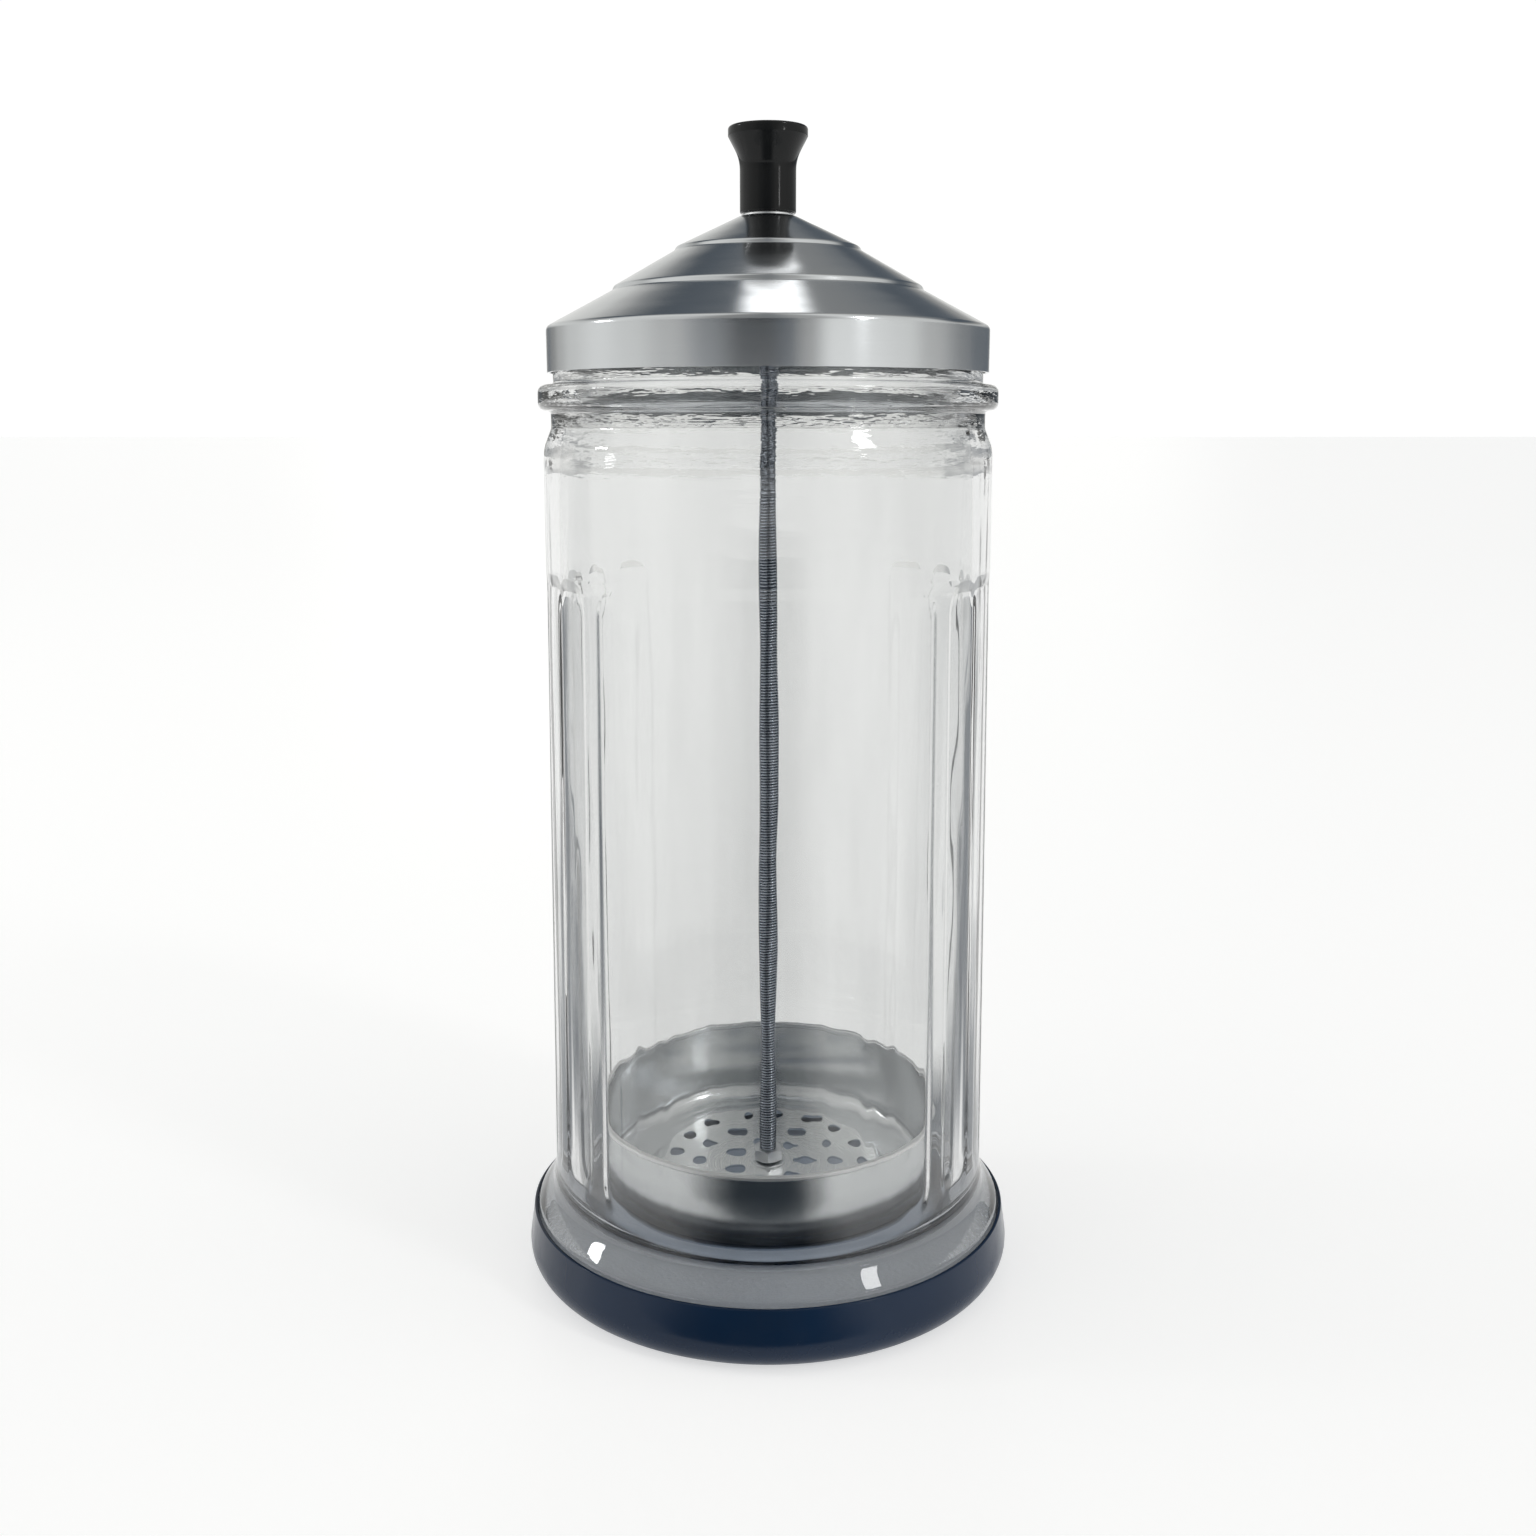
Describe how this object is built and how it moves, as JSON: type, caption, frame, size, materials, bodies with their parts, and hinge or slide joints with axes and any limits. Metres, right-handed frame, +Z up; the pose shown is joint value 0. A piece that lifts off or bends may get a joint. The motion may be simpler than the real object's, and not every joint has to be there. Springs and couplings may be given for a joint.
{
  "type": "disinfectant jar",
  "caption": "Tall fluted glass disinfectant jar in a soft boot, with a stepped metal lid, a knob, and a rod that lifts a perforated basket out with the lid.",
  "frame": {"origin": "centre of the standing face, on the floor", "axes": "+Z up along the jar's axis; the pan leans about X, with its front at -Y the lower"},
  "size_m": [0.1222, 0.1222, 0.2757],
  "materials": {
    "navy_vinyl": "glossy soft vinyl",
    "clear_glass": "clear pressed glass",
    "brushed_lid": "spun and fine brushed",
    "white_nylon": "satin",
    "black_plastic": "glossy",
    "brass": "turned",
    "bright_metal": "bright plated",
    "rod_steel": "threaded, satin",
    "pan_metal": "drawn, satin"
  },
  "bodies": {
    "jar": {"base_boot": "navy_vinyl", "glass_jar": "clear_glass"},
    "lid": {"lid_shell": "brushed_lid", "lid_bush": "white_nylon"},
    "stem": {"knob": "black_plastic", "knob_insert": "brass", "knob_washer": "bright_metal", "lift_rod": "rod_steel", "lid_washer": "bright_metal", "lid_nut": "bright_metal", "lid_lock_nut": "bright_metal", "basket": "pan_metal", "basket_top_washer": "bright_metal", "basket_top_nut": "bright_metal", "basket_bottom_washer": "bright_metal", "basket_bottom_nut": "bright_metal"}
  },
  "joints": [
    {"name": "lid_lift", "type": "slide", "parent": "jar", "child": "lid", "axis": [0, 0, 1], "range_m": [0, 0.24]},
    {"name": "stem_turn", "type": "hinge", "parent": "lid", "child": "stem", "pos_m": [0, 0, 0.25], "axis": [0, 0, 1], "continuous": true}
  ]
}
